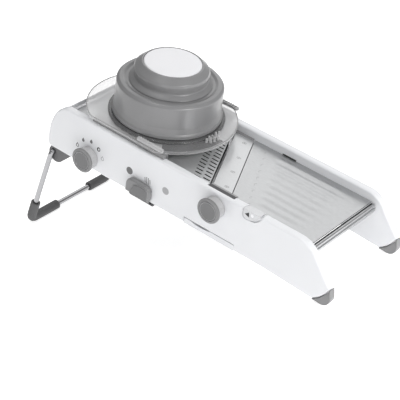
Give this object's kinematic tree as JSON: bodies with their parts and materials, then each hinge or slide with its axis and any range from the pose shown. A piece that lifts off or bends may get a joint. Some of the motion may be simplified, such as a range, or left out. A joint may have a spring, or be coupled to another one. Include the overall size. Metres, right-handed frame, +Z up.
{
  "type": "mandoline slicer",
  "caption": "Tilted kitchen mandoline slicer with a diagonal blade, thickness dial, julienne slider, sliding clear food carriage with pusher, and a folding wire stand.",
  "frame": {"origin": "middle of the slicer's footprint, on the ground it stands on", "axes": "+X along the deck towards the low end, +Y across the deck towards the side without knobs, +Z up"},
  "size_m": [0.4278, 0.1541, 0.2127],
  "materials": {
    "white_shell": "satin white moulding",
    "grey_trim": "fine matt grey moulding",
    "dark_rubber": "matt dark grey rubber",
    "dark_plastic": "matt dark grey moulding",
    "brushed_plate": "brushed stainless steel",
    "blade_steel": "fine ground stainless steel",
    "polished_rod": "bright polished steel",
    "clear_plastic": "clear polycarbonate"
  },
  "bodies": {
    "frame": {"near_rail": "white_shell", "far_rail": "white_shell", "near_foot": "grey_trim", "far_foot": "grey_trim", "head_bridge": "white_shell", "front_bar": "brushed_plate", "landing_plate": "brushed_plate", "ledge_near": "white_shell", "ledge_far": "white_shell", "slicing_blade": "blade_steel", "blade_end_near": "grey_trim", "blade_end_far": "grey_trim", "blade_bed": "white_shell", "cross_tie_1": "polished_rod", "cross_tie_2": "polished_rod", "rail_screw_1": "polished_rod", "rail_screw_2": "polished_rod", "near_lug": "dark_plastic", "far_lug": "dark_plastic", "drawer_guide": "white_shell"},
    "stand": {"stand_wire": "polished_rod", "near_sleeve": "dark_rubber", "far_sleeve": "dark_rubber"},
    "thickness_dial": {"thickness_knob": "grey_trim", "thickness_knob_disc": "grey_trim", "thickness_shaft": "polished_rod", "pinion_near": "grey_trim", "pinion_far": "grey_trim"},
    "ramp_slide": {"ramp_bar_near": "grey_trim", "ramp_bar_far": "grey_trim", "ramp_cross_strip": "grey_trim"},
    "runway": {"runway_plate": "brushed_plate", "runway_rib_near": "grey_trim", "runway_rib_far": "grey_trim"},
    "combs": {"comb_upper": "blade_steel", "comb_lower": "blade_steel", "comb_carrier": "dark_plastic"},
    "selector": {"selector_grip": "grey_trim", "selector_bar": "dark_plastic"},
    "blade_lock": {"lock_knob": "grey_trim", "lock_knob_disc": "grey_trim", "lock_shaft": "polished_rod"},
    "latch": {"release_latch": "clear_plastic"},
    "drawer": {"storage_drawer": "white_shell"},
    "carriage": {"carriage_plate": "clear_plastic", "food_collar": "clear_plastic", "carriage_runner_near": "clear_plastic", "carriage_runner_far": "clear_plastic", "carriage_clip_near": "clear_plastic", "carriage_clip_far": "clear_plastic"},
    "pusher": {"pusher_skirt": "grey_trim", "pusher_grip": "grey_trim", "pusher_cap": "white_shell", "plunger": "grey_trim"}
  },
  "joints": [
    {"name": "carriage_slide", "type": "slide", "parent": "frame", "child": "carriage", "axis": [0.9607, 0, -0.2777], "range_m": [-0.008, 0.145]},
    {"name": "pusher_lift", "type": "slide", "parent": "carriage", "child": "pusher", "axis": [0.2777, 0, 0.9607], "range_m": [0, 0.055]},
    {"name": "thickness_turn", "type": "hinge", "parent": "frame", "child": "thickness_dial", "pos_m": [-0.09599, -0.06375, 0.10568], "axis": [0, -1, 0], "range_deg": [0, 144.2]},
    {"name": "ramp_travel", "type": "slide", "parent": "frame", "child": "ramp_slide", "axis": [-0.9607, 0, 0.2777], "range_m": [0, 0.0152]},
    {"name": "runway_drop", "type": "slide", "parent": "frame", "child": "runway", "axis": [-0.2777, 0, -0.9607], "range_m": [0, 0.0068]},
    {"name": "selector_travel", "type": "slide", "parent": "frame", "child": "selector", "axis": [0.9607, 0, -0.2777], "range_m": [-0.0253, 0.0253]},
    {"name": "comb_lift", "type": "slide", "parent": "frame", "child": "combs", "axis": [-0.2777, 0, -0.9607], "range_m": [-0.0054, 0.0054]},
    {"name": "lock_turn", "type": "hinge", "parent": "frame", "child": "blade_lock", "pos_m": [0.07778, -0.06375, 0.0824], "axis": [0, -1, 0], "range_deg": [0, 90]},
    {"name": "latch_slide", "type": "slide", "parent": "frame", "child": "latch", "axis": [0.9607, 0, -0.2777], "range_m": [0, 0.0025]},
    {"name": "stand_fold", "type": "hinge", "parent": "frame", "child": "stand", "pos_m": [-0.15793, 0.00375, 0.09881], "axis": [0, -1, 0], "range_deg": [0, 101]},
    {"name": "drawer_pull", "type": "slide", "parent": "frame", "child": "drawer", "axis": [0, -1, 0], "range_m": [0, 0.016]}
  ],
  "couplings": [
    {"joint": "thickness_turn", "follows": "runway_drop", "rad_per_m": 369.59},
    {"joint": "ramp_travel", "follows": "runway_drop", "ratio": 2.2176},
    {"joint": "comb_lift", "follows": "selector_travel", "ratio": 0.20949}
  ]
}
